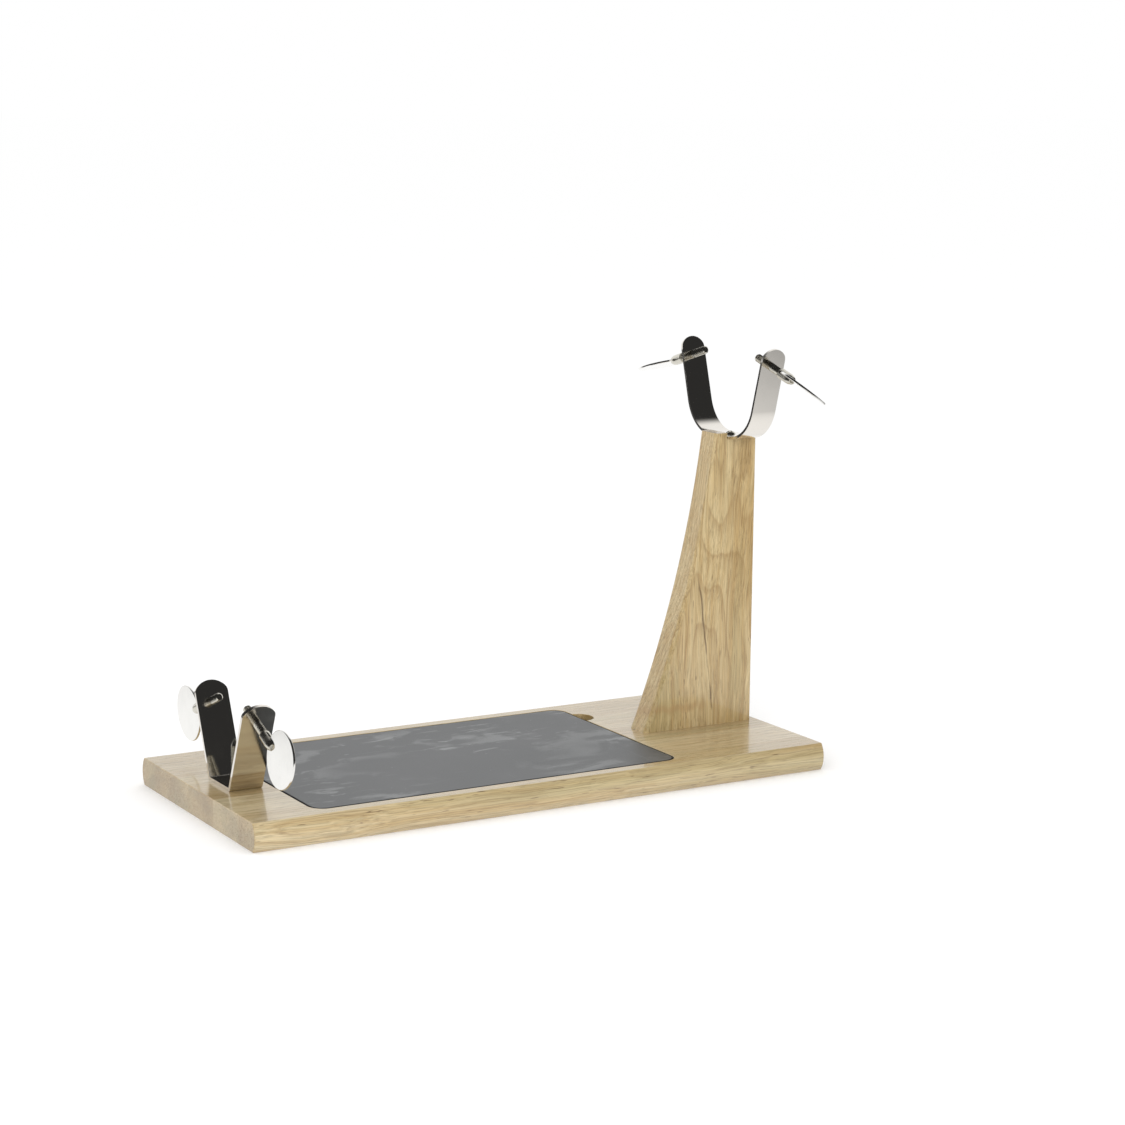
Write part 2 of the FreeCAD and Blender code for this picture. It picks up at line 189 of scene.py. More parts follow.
SLATE_DARK = (0.040, 0.044, 0.047, 1.0)
SLATE_GREY = (0.068, 0.073, 0.075, 1.0)
SLATE_PALE = (0.150, 0.157, 0.157, 1.0)
SLATE_MARK = (0.32, 0.33, 0.33, 1.0)
# Near black: painted shade on the slate's chamfer, standing in for the shade of the gap line where the slate
# meets the board
SLATE_RIM_SHADE = (0.010, 0.010, 0.010, 1.0)

# Bright plate: colour, roughness, and how much wiping and scratches add to it
NICKELS = {
    "strap_nickel": {"colour": (0.81, 0.775, 0.72, 1.0), "rough": 0.09, "spread": 0.08},
    "screw_nickel": {"colour": (0.66, 0.635, 0.56, 1.0), "rough": 0.17, "spread": 0.14},
    "plate_nickel": {"colour": (0.90, 0.89, 0.86, 1.0), "rough": 0.09, "spread": 0.08},
}
NICKEL_WAVE = 0.05 * MM
NICKEL_DIM = 0.93
ZINC_DARK = (0.52, 0.52, 0.50, 1.0)
ZINC_PALE = (0.66, 0.65, 0.60, 1.0)

SCREWS = ("lower_front", "lower_back", "upper_front", "upper_back")
joints = {j["name"]: j for j in frame["joints"]}


# ---------------------------------------------------------------- reading the frame

def screw_axis(name):
    """A point on a thumb screw's axis, where it crosses the arm's middle plane, and its outward direction."""
    joint = joints[name + "_turn"]
    return Vector(joint["pos_m"]), Vector(joint["axis"]).normalized()


def measures(node, name):
    """A node's lowest and highest place along its screw's axis, and its radius."""
    origin, axis = screw_axis(name)
    heights, widest = [], 0.0
    for vertex in frame["nodes"][node].data.vertices:
        offset = vertex.co - origin
        height = offset.dot(axis)
        heights.append(height)
        widest = max(widest, (offset - axis * height).length)
    return min(heights), max(heights), widest


def plate_side(name):
    """The way that a thumb plate's flat faces look, square to its screw's axis."""
    _, axis = screw_axis(name)
    faces = frame["nodes"][name + "_disc"].data.polygons
    normal = max(faces, key=lambda face: face.area).normal
    return (normal - axis * normal.dot(axis)).normalized()


def screw_matrix(name):
    """From a screw's own frame to the CAD frame. Z is outward from the arm, and X is in its plate's plane."""
    origin, axis = screw_axis(name)
    side = plate_side(name)
    across = side.cross(axis)
    turn = Matrix((across, side, axis)).transposed().to_4x4()
    return Matrix.Translation(origin) @ turn


# ---------------------------------------------------------------- mesh tools

def make_piece(name, bm, matrix=None, sharp=SHARP_ANGLE):
    """A smooth-shaded object from a bmesh, moved into the CAD frame, with edges over an angle kept sharp."""
    if matrix is not None:
        bmesh.ops.transform(bm, matrix=matrix, verts=bm.verts)
    bmesh.ops.recalc_face_normals(bm, faces=bm.faces)
    mesh = bpy.data.meshes.new(name)
    bm.to_mesh(mesh)
    bm.free()
    mesh.shade_smooth()
    mesh.set_sharp_from_angle(angle=math.radians(sharp))
    piece = bpy.data.objects.new(name, mesh)
    bpy.context.scene.collection.objects.link(piece)
    return piece


def settle(piece, body, nodes, material):
    """Gives a piece its body, the CAD nodes that it stands for and its material."""
    piece.data.materials.clear()
    piece.data.materials.append(material)
    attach(piece, body)
    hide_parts(*nodes)


def bake_modifiers(piece):
    """Applies a piece's modifiers to its mesh."""
    bpy.context.view_layer.update()
    graph = bpy.context.evaluated_depsgraph_get()
    mesh = bpy.data.meshes.new_from_object(piece.evaluated_get(graph))
    piece.modifiers.clear()
    piece.data = mesh


def cut(piece, tools):
    """Takes each tool's volume out of a piece, and removes the tools."""
    for tool in tools:
        cutter = piece.modifiers.new("cut", "BOOLEAN")
        cutter.operation = "DIFFERENCE"
        cutter.solver = "EXACT"
        cutter.object = tool
    bake_modifiers(piece)
    for tool in tools:
        bpy.data.objects.remove(tool)


def soften(piece, width):
    """Rounds a piece's sharp edges, and keeps its flat faces flat in reflections."""
    bevel = piece.modifiers.new("bevel", "BEVEL")
    bevel.width = width
    bevel.segments = BEVEL_SEGMENTS
    bevel.limit_method = "ANGLE"
    bevel.angle_limit = math.radians(BEVEL_ANGLE)
    bake_modifiers(piece)
    piece.data.shade_smooth()
    weigh(piece)


def weigh(piece):
    """Normals weighted by face area, so that large flat faces reflect as flat."""
    normals = piece.modifiers.new("normals", "WEIGHTED_NORMAL")
    normals.keep_sharp = True
    bake_modifiers(piece)


def cylinder_tool(radius, low, high, matrix, around=HOLE_AROUND):
    """A plain bar along local Z, used to cut a hole."""
    bm = bmesh.new()
    place = matrix @ Matrix.Translation((0, 0, (low + high) / 2))
    bmesh.ops.create_cone(bm, cap_ends=True, segments=around, radius1=radius, radius2=radius,
                          depth=high - low, matrix=place)
    return make_piece("tool", bm)


def box_tool(size, centre, matrix):
    """A plain block, used to cut a slot."""
    bm = bmesh.new()
    scale = Matrix.Diagonal((*size, 1.0))
    bmesh.ops.create_cube(bm, size=1.0, matrix=matrix @ Matrix.Translation(centre) @ scale)
    return make_piece("tool", bm)


def lathe(outline, around):
    """A closed solid of revolution about Z from (radius, height) points that start and end on the axis."""
    bm = bmesh.new()
    rings = []
    for radius, height in outline:
        if radius < TINY:
            rings.append([bm.verts.new((0, 0, height))])
            continue
        ring = []
        for step in range(around):
            angle = 2 * math.pi * (step + 0.5) / around
            ring.append(bm.verts.new((radius * math.cos(angle), radius * math.sin(angle), height)))
        rings.append(ring)
    for low, high in zip(rings, rings[1:]):
        for step in range(around):
            following = (step + 1) % around
            if len(low) == 1:
                bm.faces.new((low[0], high[following], high[step]))
            elif len(high) == 1:
                bm.faces.new((low[step], low[following], high[0]))
            else:
                bm.faces.new((low[step], low[following], high[following], high[step]))
    return bm


def rounded_corner(corner, radius, start, end, steps=5):
    """Points of an arc about corner, in (radius, height), from one angle to another in degrees."""
    points = []
    for step in range(steps + 1):
        angle = math.radians(start + (end - start) * step / steps)
        points.append((corner[0] + radius * math.cos(angle), corner[1] + radius * math.sin(angle)))
    return points


# ---------------------------------------------------------------- threads

def thread_radius(row, radius):
    """The thread's radius on one of its rows: a flat crest, straight flanks and a flat root."""
    from_root = abs(2.0 * (row % THREAD_ROWS) / THREAD_ROWS - 1.0)
    share = min(1.0, max(0.0, (from_root - THREAD_ROOT) / THREAD_FLANK))
    return radius - THREAD_DEPTH * (1.0 - share)


def threaded_bar(low, high, radius, limit):
    """A bar on Z from low to high with a right-hand thread. limit gives the largest radius at a height.

    The thread starts THREAD_LEAD turns below low, runs past high and is cut off at both."""
    bm = bmesh.new()
    turns = math.ceil((high - low) / PITCH + 2 * THREAD_LEAD)
    rows = turns * THREAD_ROWS
    grid = []
    for row in range(rows):
        line = []
        for step in range(THREAD_AROUND):
            share = step / THREAD_AROUND
            height = low + PITCH * (row / THREAD_ROWS + share - THREAD_LEAD)
            reach = min(thread_radius(row, radius), limit(height))
            angle = 2 * math.pi * share
            line.append(bm.verts.new((reach * math.cos(angle), reach * math.sin(angle), height)))
        grid.append(line)
    for row in range(rows - 1 - THREAD_ROWS):
        for step in range(THREAD_AROUND):
            if step + 1 < THREAD_AROUND:
                right, right_up = grid[row][step + 1], grid[row + 1][step + 1]
            else:
                right, right_up = grid[row + THREAD_ROWS][0], grid[row + THREAD_ROWS + 1][0]
            bm.faces.new((grid[row][step], right, right_up, grid[row + 1][step]))
    for height, outward in ((low, -1), (high, 1)):
        everything = bm.verts[:] + bm.edges[:] + bm.faces[:]
        bmesh.ops.bisect_plane(bm, geom=everything, dist=TINY, plane_co=(0, 0, height),
                               plane_no=(0, 0, outward), clear_outer=True)
    loose = [v for v in bm.verts if not v.link_faces]
    bmesh.ops.delete(bm, geom=loose, context="VERTS")
    rims = [e for e in bm.edges if e.is_boundary]
    bmesh.ops.holes_fill(bm, edges=rims, sides=0)
    return bm


# ---------------------------------------------------------------- brackets

def strap_shape(node):
    """A strap's driving sizes, read from the frame: its middle, half width, bend and lengths."""
    spec = STRAPS[node]
    low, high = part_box(node)
    origin, axis = screw_axis(spec["level"] + "_back")
    lean = math.atan2(-axis.z, axis.y)
    along = Vector((0, math.sin(lean), math.cos(lean)))
    middle_radius = spec["bend"] - spec["thick"] / 2
    centre_z = low.z + spec["bend"]
    start_z = centre_z + middle_radius * axis.z
    start_y = origin.y + along.y * (start_z - origin.z) / along.z
    tip = (high.z + spec["thick"] / 2 * axis.z - start_z) / along.z
    return {
        "x": (low.x + high.x) / 2, "half": (high.x - low.x) / 2, "base_z": low.z + spec["thick"] / 2,
        "along": along, "radius": middle_radius, "centre_z": centre_z,
        "flat": start_y - middle_radius * axis.y, "turn": math.pi / 2 - lean, "arm": tip,
        "thick": spec["thick"], "tip": spec["tip"],
    }


def strap_place(shape, distance):
    """The strap's middle line and its outward normal at a distance from its middle, in (y, z)."""
    side = math.copysign(1.0, distance)
    walked = abs(distance)
    bend_length = shape["radius"] * shape["turn"]
    if walked <= shape["flat"]:
        return Vector((distance, shape["base_z"])), Vector((0, -1))
    angle = min(walked - shape["flat"], bend_length) / shape["radius"]
    out = Vector((side * math.sin(angle), -math.cos(angle)))
    point = Vector((side * shape["flat"], shape["centre_z"])) + out * shape["radius"]
    beyond = max(0.0, walked - shape["flat"] - bend_length)
    point += Vector((side * shape["along"].y, shape["along"].z)) * beyond
    return point, out


def strap_half_width(shape, from_tip):
    """Half the strap's width at a distance from its rounded tip."""
    radius = shape["tip"]
    if from_tip >= radius:
        return shape["half"]
    arc = math.sqrt(max(0.0, radius ** 2 - (radius - from_tip) ** 2))
    blend = max(0.0, SHOULDER_BLEND - abs(arc - shape["half"])) / SHOULDER_BLEND
    return min(arc, shape["half"]) - blend ** 2 * SHOULDER_BLEND / 4


def strap_stations(shape):
    """Distances along half of the strap, from its middle to its tip."""
    bend_length = shape["radius"] * shape["turn"]
    bend_steps = math.ceil(shape["turn"] / BEND_STEP)
    end = shape["flat"] + bend_length + shape["arm"]
    stations = [0.0, shape["flat"] / 2]
    stations += [shape["flat"] + bend_length * step / bend_steps for step in range(bend_steps + 1)]
    for step in range(TIP_STEPS + 1):
        angle = math.pi / 2 * (1 - step / TIP_STEPS)
        stations.append(end - shape["tip"] * (1 - math.cos(angle)))
    return stations, end


def bracket(node):
    """A bent strap with rounded tips, drilled for its rods and its base fastener, with softened edges."""
    shape = strap_shape(node)
    stations, end = strap_stations(shape)
    places = [-s for s in reversed(stations[1:])] + stations
    bm = bmesh.new()
    rings = []
    for place in places:
        point, out = strap_place(shape, place)
        half = strap_half_width(shape, end - abs(place))
        outer, inner = point + out * shape["thick"] / 2, point - out * shape["thick"] / 2
        corners = [(half, outer), (-half, outer), (-half, inner), (half, inner)]
        if half < STRAP_POINT:
            corners = [(0.0, outer), (0.0, inner)]
        rings.append([bm.verts.new((shape["x"] + across, p.x, p.y)) for across, p in corners])
    for before, after in zip(rings, rings[1:]):
        if len(before) == 2:
            join_tip(bm, before, after)
        elif len(after) == 2:
            join_tip(bm, after, before)
        else:
            for k in range(4):
                bm.faces.new((before[k], before[(k + 1) % 4], after[(k + 1) % 4], after[k]))
    strap = make_piece(node + "_strap", bm)
    spec = STRAPS[node]
    drill = 2 * shape["thick"]
    tools = [cylinder_tool(ROD_HOLE, -drill, drill, screw_matrix(spec["level"] + place))
             for place in ("_front", "_back")]
    base = Matrix.Translation((shape["x"], 0, shape["base_z"]))
    tools.append(cylinder_tool(spec["base_hole"], -drill, drill, base))
    cut(strap, tools)
    soften(strap, STRAP_EDGE)
    return strap


def join_tip(bm, tip, ring):
    """Closes a strap's last ring of four onto its tip's two points."""
    outer, inner = tip
    bm.faces.new((ring[0], ring[1], outer))
    bm.faces.new((ring[1], ring[2], inner, outer))
    bm.faces.new((ring[2], ring[3], inner))
    bm.faces.new((ring[3], ring[0], outer, inner))


# ---------------------------------------------------------------- thumb screws and spike

def screw_rod(name):
    """A threaded rod, chamfered at its inner end."""
    low, high, radius = measures(name + "_rod", name)

    def limit(height):
        return min(radius - ROD_CHAMFER + max(0.0, height - low), radius)

    bm = threaded_bar(low, high, radius, limit)
    return make_piece(name + "_threaded_rod", bm, screw_matrix(name))


def screw_collar(name):
    """The sleeve between rod and plate: a lipped barrel with a rounded nose, slotted for the plate."""
    low, high, radius = measures(name + "_collar", name)
    outline = [(0.0, low + COLLAR_SOCKET), (ROD_HOLE, low + COLLAR_SOCKET), (ROD_HOLE, low)]
    outline += [(radius - COLLAR_LIP, low)]
    outline += rounded_corner((radius - COLLAR_LIP, low + COLLAR_LIP), COLLAR_LIP, -80, 0)
    for step in range(COLLAR_NOSE_STEPS + 1):
        share = step / COLLAR_NOSE_STEPS
        drop = (radius - COLLAR_END_RADIUS) * share ** 2
        outline.append((radius - drop, high - COLLAR_TAPER * (1 - share)))
    outline.append((0.0, high))
    matrix = screw_matrix(name)
    collar = make_piece(name + "_slotted_collar", lathe(outline, COLLAR_AROUND), matrix)
    size = (4 * radius, plate_thickness(name), 2 * SLOT_DEPTH)
    cut(collar, [box_tool(size, (0, 0, high), matrix)])
    weigh(collar)
    return collar


def plate_thickness(name):
    """How thick a thumb plate is, square to its flat faces."""
    turn = screw_matrix(name).inverted()
    across = [(turn @ v.co).y for v in frame["nodes"][name + "_disc"].data.vertices]
    return max(across) - min(across)


def screw_plate(name):
    """The round thumb plate with a rounded rim."""
    low, high, _ = measures(name + "_disc", name)
    radius = (high - low) / 2 - PLATE_INSET
    half = plate_thickness(name) / 2
    outline = [(0.0, -half), (radius * 0.5, -half)]
    outline += rounded_corner((radius - DISC_EDGE, -half + DISC_EDGE), DISC_EDGE, -90, 0)
    outline += rounded_corner((radius - DISC_EDGE, half - DISC_EDGE), DISC_EDGE, 0, 90)
    outline += [(radius * 0.5, half), (0.0, half)]
    edge_on = Matrix.Translation((0, 0, (low + high) / 2)) @ Matrix.Rotation(math.pi / 2, 4, "X")
    plate = make_piece(name + "_thumb_plate", lathe(outline, DISC_AROUND), screw_matrix(name) @ edge_on)
    weigh(plate)
    return plate


def spike():
    """The bolt from under the board: a socket head, and a threaded shank that ends in the ham's spike."""
    low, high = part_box("spike_bolt")
    middle = (low + high) / 2
    head_top = low.z + HEAD_HEIGHT
    slope = (SPIKE_RADIUS - SPIKE_BLUNT) / SPIKE_POINT

    def limit(height):
        return max(SPIKE_BLUNT, min(SPIKE_RADIUS, SPIKE_BLUNT + (high.z - height) * slope))

    base = Matrix.Translation((middle.x, middle.y, 0))
    shank = make_piece("spike_threaded_shank", threaded_bar(head_top, high.z, SPIKE_RADIUS, limit), base)
    head_radius = (high.x - low.x) / 2
    outline = [(0.0, low.z), (head_radius - HEAD_EDGE, low.z)]
    outline += rounded_corner((head_radius - HEAD_EDGE, low.z + HEAD_EDGE), HEAD_EDGE, -80, 0, 3)
    outline += [(head_radius, head_top), (0.0, head_top)]
    head = make_piece("spike_socket_head", lathe(outline, HEAD_AROUND), base)
    cut(head, [cylinder_tool(SOCKET_RADIUS, low.z - MM, low.z + SOCKET_DEPTH, base, around=6)])
    weigh(head)
    return shank, head


# ---------------------------------------------------------------- slate

def corner_map(across, half, radius):
    """How far a grid coordinate is into the corner's square, from 0 to 1, with its sign."""
    into = (abs(across) - (half - radius)) / radius
    return max(0.0, into), math.copysign(1.0, across)


def slate_point(x, y, half_x, half_y):
    """Moves a point of a rectangular grid so that the rectangle's corners become round."""
    into_x, side_x = corner_map(x, half_x, SLATE_CORNER)
    into_y, side_y = corner_map(y, half_y, SLATE_CORNER)
    if into_x <= 0 or into_y <= 0:
        return x, y
    round_x = into_x * math.sqrt(1 - into_y ** 2 / 2)
    round_y = into_y * math.sqrt(1 - into_x ** 2 / 2)
    return (side_x * (half_x - SLATE_CORNER + SLATE_CORNER * round_x),
            side_y * (half_y - SLATE_CORNER + SLATE_CORNER * round_y))


def grid_lines(half):
    """Grid lines from edge to edge, with a narrow cell for the bevel at both."""
    inner = half - SLATE_BEVEL
    cells = round(2 * inner / SLATE_CELL)
    return [-half] + [-inner + 2 * inner * k / cells for k in range(cells + 1)] + [half]


def slate_slab():
    """The slate: a hand-split plate, with a faintly uneven face and a worn, chipped top edge."""
    low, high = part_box("slate_plate")
    centre = (low + high) / 2
    half_x, half_y = (high.x - low.x) / 2, (high.y - low.y) / 2
    lines_x, lines_y = grid_lines(half_x), grid_lines(half_y)
    bm = bmesh.new()
    rows = []
    for y in lines_y:
        row = []
        for x in lines_x:
            px, py = slate_point(x, y, half_x, half_y)
            place = Vector((px, py, 0.0))
            z = high.z - SLATE_WAVE * (0.5 + 0.5 * noise.noise(place * WAVE_SCALE))
            if abs(x) >= half_x - TINY or abs(y) >= half_y - TINY:
                rough = 0.5 + 0.5 * noise.noise(place * WEAR_SCALE)
                chip = max(0.0, noise.noise(place * CHIP_SCALE + CHIP_SHIFT) - CHIP_START)
                z = high.z - SLATE_BEVEL * (0.45 + 0.55 * rough) - SLATE_CHIP * chip
                inward = 1 - SLATE_CHIP * (chip + 0.25 * rough) / half_y
                px, py = px * inward, py * inward
            row.append(bm.verts.new((centre.x + px, centre.y + py, z)))
        rows.append(row)
    for before, after in zip(rows, rows[1:]):
        for k in range(len(lines_x) - 1):
            bm.faces.new((before[k], before[k + 1], after[k + 1], after[k]))
    rim = rows[0] + [row[-1] for row in rows[1:]] + rows[-1][-2::-1] + [row[0] for row in rows[-2:0:-1]]
    foot = [bm.verts.new((v.co.x, v.co.y, low.z)) for v in rim]
    for k in range(len(rim)):
        following = (k + 1) % len(rim)
        bm.faces.new((rim[following], rim[k], foot[k], foot[following]))
    bm.faces.new(foot)
    return make_piece("slate_slab", bm, sharp=SLATE_SHARP_ANGLE)


# ---------------------------------------------------------------- materials

class Shader:
    """A material's node tree. Each call adds a node and returns its output."""

    def __init__(self, name):
        self.material = bpy.data.materials.new(name)
        self.material.use_nodes = True
        self.tree = self.material.node_tree
        self.surface = self.tree.nodes["Principled BSDF"]
        self.place = self.add("ShaderNodeTexCoord", {}).outputs["Object"]

    def add(self, kind, inputs, **settings):
        node = self.tree.nodes.new(kind)
        for key, value in settings.items():
            setattr(node, key, value)
        for key, value in inputs.items():
            self.feed(node.inputs[key], value)
        return node

    def feed(self, socket, value):
        if isinstance(value, bpy.types.NodeSocket):
            self.tree.links.new(value, socket)
        else:
            socket.default_value = value

    def set(self, **values):
        """Sets the surface's sockets, named with underscores."""
        for key, value in values.items():
            self.feed(self.surface.inputs[key.replace("_", " ")], value)

    def math(self, operation, first, second=0.0, third=0.0):
        inputs = {0: first, 1: second, 2: third}
        return self.add("ShaderNodeMath", inputs, operation=operation).outputs[0]

    def vector(self, operation, first, second=(0, 0, 0)):
        return self.add("ShaderNodeVectorMath", {0: first, 1: second}, operation=operation).outputs

    def scaled(self, vector, factors):
        return self.vector("MULTIPLY", vector, factors)[0]

    def moved(self, vector, offset):
        return self.vector("ADD", vector, offset)[0]

    def noise(self, vector, factors=(1, 1, 1), detail=2.0, roughness=0.5, distortion=0.0):
        inputs = {"Vector": self.scaled(vector, factors), "Scale": 1.0, "Detail": detail,
                  "Roughness": roughness, "Distortion": distortion}
        return self.add("ShaderNodeTexNoise", inputs).outputs["Fac"]

    def parts(self, vector):
        return self.add("ShaderNodeSeparateXYZ", {0: vector}).outputs

    def join(self, x, y, z):
        return self.add("ShaderNodeCombineXYZ", {0: x, 1: y, 2: z}).outputs[0]

    def ramp(self, value, low, high, to_low=0.0, to_high=1.0):
        """Maps low..high onto to_low..to_high, smoothly and clamped."""
        inputs = {"Value": value, "From Min": low, "From Max": high, "To Min": to_low, "To Max": to_high}
        return self.add("ShaderNodeMapRange", inputs, interpolation_type="SMOOTHSTEP").outputs["Result"]

    def mix(self, share, first, second, mode="MIX"):
        node = self.add("ShaderNodeMix", {}, data_type="RGBA", blend_type=mode)
        self.feed(node.inputs["Factor"], share)
        self.feed(node.inputs[6], first)
        self.feed(node.inputs[7], second)
        return node.outputs[2]

    def shaded(self, colour, factor):
        """A colour made lighter or darker by a factor."""
        return self.mix(1.0, colour, self.join(factor, factor, factor), "MULTIPLY")

    def bump(self, height, strength, distance):
        inputs = {"Height": height, "Strength": strength, "Distance": distance}
        self.set(Normal=self.add("ShaderNodeBump", inputs).outputs[0])


def grain_frame(shader, grain, pith):
    """Coordinates with the grain first, then the two ways across it from the pith."""
    x, y, z = shader.parts(shader.place)
    along, across, depth = (x, y, z) if grain == "X" else (z, x, y)
    return along, shader.math("SUBTRACT", across, pith[0]), shader.math("SUBTRACT", depth, pith[1])


def stave_shift(shader, across):
    """Per glued stave: three random numbers, and how near the glue line is, from 0 to 1."""
    place = shader.math("DIVIDE", shader.math("SUBTRACT", across, STAVE_SHIFT), STAVE_WIDTH)
    index = shader.math("FLOOR", place)
    chance = shader.add("ShaderNodeTexWhiteNoise", {"W": index}, noise_dimensions="1D").outputs["Color"]
    within = shader.math("SUBTRACT", place, index)
    to_line = shader.math("MULTIPLY", shader.math("PINGPONG", within, 0.5), STAVE_WIDTH)
    return shader.parts(chance), shader.ramp(to_line, 0.05 * MM, 0.35 * MM, 1.0, 0.0)


def flow(shader, along, across, depth, swirl):
    """Grain coordinates that wander slowly across the wood, so that every line in it swirls together."""
    coords = shader.join(along, across, depth)
    shifts = []
    for seed in (0.0, 5.3):
        wide = shader.noise(shader.moved(coords, (seed, 0, 0)), (6, 24, 24), detail=1.0)
        small = shader.noise(shader.moved(coords, (seed, 0, 0)), (22, 70, 70), detail=2.0)
        wide = shader.math("MULTIPLY", shader.math("SUBTRACT", wide, 0.5), swirl)
        small = shader.math("MULTIPLY", shader.math("SUBTRACT", small, 0.5), GRAIN_RIPPLE)
        shifts.append(shader.math("ADD", wide, small))
    return along, shader.math("ADD", across, shifts[0]), shader.math("ADD", depth, shifts[1])


def rings(shader, along, across, depth, gap, taper):
    """Growth rings round the pith: 0 in the early wood, rising to 1 in the thin dark late wood."""
    square = shader.math("ADD", shader.math("MULTIPLY", across, across),
                         shader.math("MULTIPLY", depth, depth))
    radius = shader.math("ADD", shader.math("SQRT", square), shader.math("MULTIPLY", along, taper))
    share = shader.math("FRACT", shader.math("DIVIDE", radius, gap))
    rise = shader.math("POWER", share, 3.2)
    return shader.math("MULTIPLY", rise, shader.ramp(share, 0.90, 1.0, 1.0, 0.0))


def oak_tone(shader, coords, cloud, stave_tone):
    """The ground tone in long streaks and broad clouds, moved up or down for each stave."""
    streak = shader.noise(coords, (2.5, 330, 330), detail=4.0, roughness=0.62)
    tone = shader.math("ADD", shader.math("MULTIPLY", streak, 0.62), shader.math("MULTIPLY", cloud, 0.38))
    return shader.math("ADD", tone, shader.math("MULTIPLY", shader.math("SUBTRACT", stave_tone, 0.5), 0.14))


def oak_colour(shader, coords, late, fibre, fleck, stave_tone, figure):
    """The wood's colour from its ground tone, late wood, olive patches, veins, fibres and pores."""
    cloud = shader.noise(coords, (4, 26, 26), detail=2.0)
    tone = oak_tone(shader, coords, cloud, stave_tone)
    vein = shader.ramp(shader.noise(shader.moved(coords, (2.2, 0, 0)), (5, 620, 620), detail=2.0), 0.60, 0.72)
    vein = shader.math("MULTIPLY", vein, shader.ramp(cloud, 0.40, 0.60, 0.25, 1.0))
    olive = shader.ramp(shader.noise(coords, (3, 60, 60), detail=2.0), 0.50, 0.70, 0.0, 0.55)
    colour = shader.mix(shader.ramp(tone, 0.38, 0.64), OAK_PALE, OAK_WARM)
    colour = shader.mix(shader.math("MULTIPLY", late, 0.64 * figure), colour, OAK_LATE)
    colour = shader.mix(olive, colour, OAK_OLIVE)
    colour = shader.mix(shader.math("MULTIPLY", vein, 0.75 * figure), colour, OAK_LATE)
    colour = shader.shaded(colour, shader.ramp(fibre, 0.34, 0.66, 0.80, 1.15))
    return shader.mix(shader.math("MULTIPLY", fleck, 0.70), colour, OAK_PORE)


def oak(name, pith, staves=False):
    """Lacquered pale oak, as a solid texture. Returns its shader and the colour it has so far."""
    spec = OAKS[name]
    shader = Shader(name)
    along, across, depth = grain_frame(shader, spec["grain"], pith)
    stave_tone, glue = 0.5, None
    if staves:
        chance, glue = stave_shift(shader, shader.parts(shader.place)[1])
        along = shader.math("ADD", along, shader.math("MULTIPLY", chance[0], 4.0))
        across = shader.math("ADD", across, shader.math("MULTIPLY", chance[1], 0.10))
        depth = shader.math("SUBTRACT", depth, shader.math("MULTIPLY", chance[2], 0.06))
        stave_tone = chance[2]
    along, across, depth = flow(shader, along, across, depth, spec["swirl"])
    late = rings(shader, along, across, depth, spec["gap"], spec["taper"])
    coords = shader.join(along, across, depth)
    fibre = shader.noise(coords, (16, 1500, 1500), detail=3.0, roughness=0.65)
    fleck = shader.ramp(shader.noise(coords, (75, 900, 900), detail=1.0), 0.69, 0.76)
    colour = oak_colour(shader, coords, late, fibre, fleck, stave_tone, spec["figure"])
    colour = end_grain(shader, spec["grain"], shader.mix(1.0, colour, spec["tint"], "MULTIPLY"))
    if glue is not None:
        colour = shader.mix(shader.math("MULTIPLY", glue, 0.45), colour, OAK_LATE)
    shader.bump(shader.math("SUBTRACT", shader.math("MULTIPLY", fibre, 0.3), fleck), 0.30, 0.05 * MM)
    rough = shader.ramp(fibre, 0.2, 0.8, 0.24, 0.36)
    shader.set(Base_Color=colour, Roughness=rough, IOR=1.5, Coat_Weight=0.55, Coat_Roughness=0.06)
    return shader, colour


def end_grain(shader, grain, colour):
    """Darker, greener wood where the surface cuts across the grain."""
    normal = shader.parts(shader.add("ShaderNodeTexCoord", {}).outputs["Normal"])
    facing = shader.math("ABSOLUTE", normal[0] if grain == "X" else normal[2])
    share = shader.ramp(facing, 0.55, 0.9, 0.0, 0.80)
    patch = shader.ramp(shader.noise(shader.place, (40, 40, 70), detail=3.0), 0.38, 0.62, 0.88, 1.16)
    patch = shader.math("MULTIPLY_ADD", shader.math("SUBTRACT", patch, 1.0), share, 1.0)
    colour = shader.shaded(colour, patch)
    return shader.mix(share, colour, shader.mix(0.75, colour, OAK_OLIVE, "MULTIPLY"))


def board_oak():
    """Glued staves with their grain along the board."""
    return oak("board_oak", BOARD_PITH, staves=True)[0].material


def post_streak(shader, low, size):
    """The dark streak down the post's side, from 0 to 0.8. It ends near the post's middle."""
    x, _, z = shader.parts(shader.place)
    bend = shader.noise(shader.place, (20, 20, 22), detail=3.0)
    line_x = shader.math("MULTIPLY_ADD", z, -0.147, low.x + 0.655 * size.x)
    line_x = shader.math("ADD", line_x, shader.math("MULTIPLY", bend, 6 * MM))
    away = shader.math("ABSOLUTE", shader.math("SUBTRACT", x, line_x))
    broken = shader.ramp(shader.noise(shader.place, (30, 30, 40), detail=3.0), 0.30, 0.48)
    below = shader.ramp(z, low.z + 0.46 * size.z, low.z + 0.54 * size.z, 1.0, 0.0)
    broken = shader.math("MULTIPLY", broken, below)
    return shader.math("MULTIPLY", shader.ramp(away, 0.1 * MM, 1.2 * MM, 0.80, 0.0), broken)


